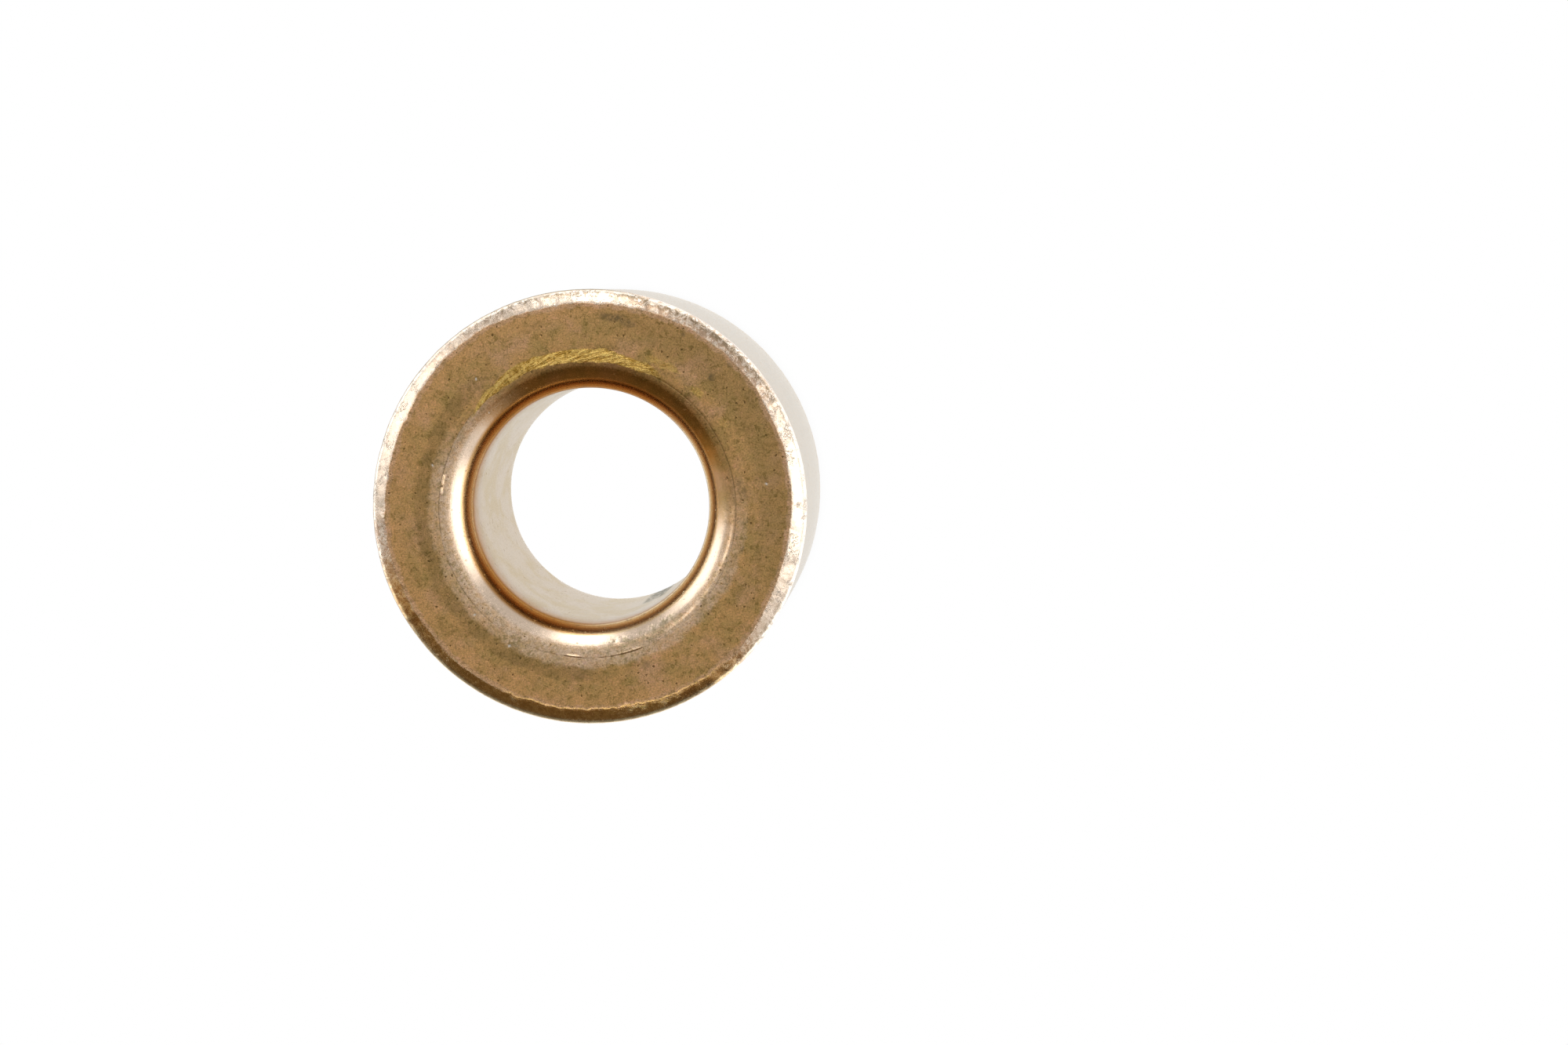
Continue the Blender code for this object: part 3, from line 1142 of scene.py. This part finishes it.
def build_backdrop():
    """A white wall all round, far off, which only the camera sees."""
    feet = circle(BACKDROP_RADIUS, FLOOR_HEIGHT)
    heads = circle(BACKDROP_RADIUS, BACKDROP_HEIGHT)
    faces = [(a, (a + 1) % SIDES, (a + 1) % SIDES + SIDES, a + SIDES) for a in range(SIDES)]
    wall = stage_mesh("backdrop", feet + heads, faces, glow("backdrop", WHITE, 1.0))
    wall.visible_glossy = False
    wall.visible_diffuse = False
    wall.visible_shadow = False


def in_flag_shade(radius, side):
    """Whether the flag shades the floor at a radius, on one of a disc's sides."""
    away = (360 * side / SIDES - FLAG_MIDDLE + 180) % 360 - 180
    return radius > FLAG_FLOOR_START and abs(away) < FLAG_HALF_WIDTH


def build_floor():
    """The floor, once as the camera sees it and once as the metal mirrors it.

    The camera sees plain white with a faint shadow. What the metal mirrors is dimmer close
    to the sleeve and dark on the flag's side.
    """
    radii = [radius for radius, level in FLOOR_RINGS]
    seen = disc("floor", radii, FLOOR_HEIGHT, glow("floor", WHITE, 1.0, CONTACT_SHADE))
    set_levels(seen, [level for radius, level in FLOOR_RINGS for side in range(SIDES)])
    seen.visible_glossy = False
    seen.visible_diffuse = False
    build_backdrop()

    radii = [radius for radius, level in FLOOR_LIGHT_RINGS]
    levels = []
    for radius, level in FLOOR_LIGHT_RINGS:
        for side in range(SIDES):
            shaded = in_flag_shade(radius, side)
            levels.append(level * FLAG_FLOOR_SHARE if shaded else level)
    light = glow("floor_light", FLOOR_LIGHT_COLOUR, FLOOR_LIGHT_STRENGTH, 0.0)
    mirrored = disc("floor_light", radii, FLOOR_LIGHT_HEIGHT, light)
    set_levels(mirrored, levels)
    mirrored.visible_camera = False


def build_bore_pads():
    """The floor in the bore, once as the camera sees it and once as the bore mirrors it."""
    pad = glow("bore_pad", WHITE, 1.0)
    seen = disc("bore_pad", (BORE_PAD_RADIUS,), BORE_PAD_HEIGHT, pad)
    seen.visible_glossy = False
    light = glow("bore_light", BORE_LIGHT_COLOUR, BORE_LIGHT_STRENGTH)
    radius = BORE_RADIUS * BORE_LIGHT_SHARE
    mirrored = disc("bore_light", (radius,), BORE_LIGHT_HEIGHT, light)
    mirrored.visible_camera = False


def build_cards():
    """The windows, the dark flag across from them and the ceiling."""
    card("right_window", (-31, 36), (1, 54), strength=2.3, side_fade=18.0)
    card("corner_window", (-51, -30), (1, 50), strength=0.88, side_fade=8.0, distance=0.85)
    card("top_window", (76, 111), (1, 52), strength=2.95, side_fade=12.0)
    card("left_window", (129, 184), (1, 51), strength=1.85, side_fade=16.0)
    reach = FLAG_HALF_WIDTH + FLAG_MARGIN
    flag = card(
        "dark_flag",
        (FLAG_MIDDLE - reach, FLAG_MIDDLE + reach),
        (-3, 80),
        strength=0.125,
        side_fade=14.0,
        colour=FLAG_COLOUR,
        distance=0.75,
    )
    flag.visible_shadow = False
    flag.visible_diffuse = False
    card("ceiling", (0, 360), (66, 90), strength=0.46, side_fade=8.0, distance=0.7)


def build_world():
    """The even light of the room."""
    world = bpy.data.worlds.new("studio")
    bpy.context.scene.world = world
    world.use_nodes = True
    background = world.node_tree.nodes["Background"]
    background.inputs["Color"].default_value = (*WHITE, 1)
    background.inputs["Strength"].default_value = ROOM_LIGHT


def build_camera():
    """A long lens above the upper end, which looks nearly straight down."""
    data = bpy.data.cameras.new("camera")
    data.lens = CAMERA_LENS
    data.sensor_width = SENSOR_WIDTH
    data.clip_start = 0.01
    data.clip_end = 10.0
    camera = bpy.data.objects.new("camera", data)
    bpy.context.scene.collection.objects.link(camera)
    back = Vector((CAMERA_TILT_X, CAMERA_TILT_Y, 1.0)).normalized()
    upward = Vector((0.0, back.z, -back.y)).normalized()
    sideways = upward.cross(back)
    turn = Matrix((sideways, upward, back)).transposed()
    place = Vector((0, 0, LENGTH)) + CAMERA_FROM_FACE
    camera.matrix_world = Matrix.Translation(place) @ turn.to_4x4()
    bpy.context.scene.camera = camera


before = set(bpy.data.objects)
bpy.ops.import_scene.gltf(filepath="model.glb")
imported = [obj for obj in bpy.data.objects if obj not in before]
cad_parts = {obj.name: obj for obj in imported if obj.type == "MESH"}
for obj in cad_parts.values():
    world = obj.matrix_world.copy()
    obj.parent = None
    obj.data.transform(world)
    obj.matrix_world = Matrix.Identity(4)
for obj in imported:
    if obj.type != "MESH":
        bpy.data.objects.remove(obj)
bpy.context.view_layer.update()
LENGTH, OUTER_RADIUS, BORE_RADIUS = size_of_frame()
TOP = LENGTH / MM

build_camera()
build_world()
build_floor()
build_bore_pads()
build_cards()
build_sleeve()
bpy.context.scene.view_settings.view_transform = "Standard"
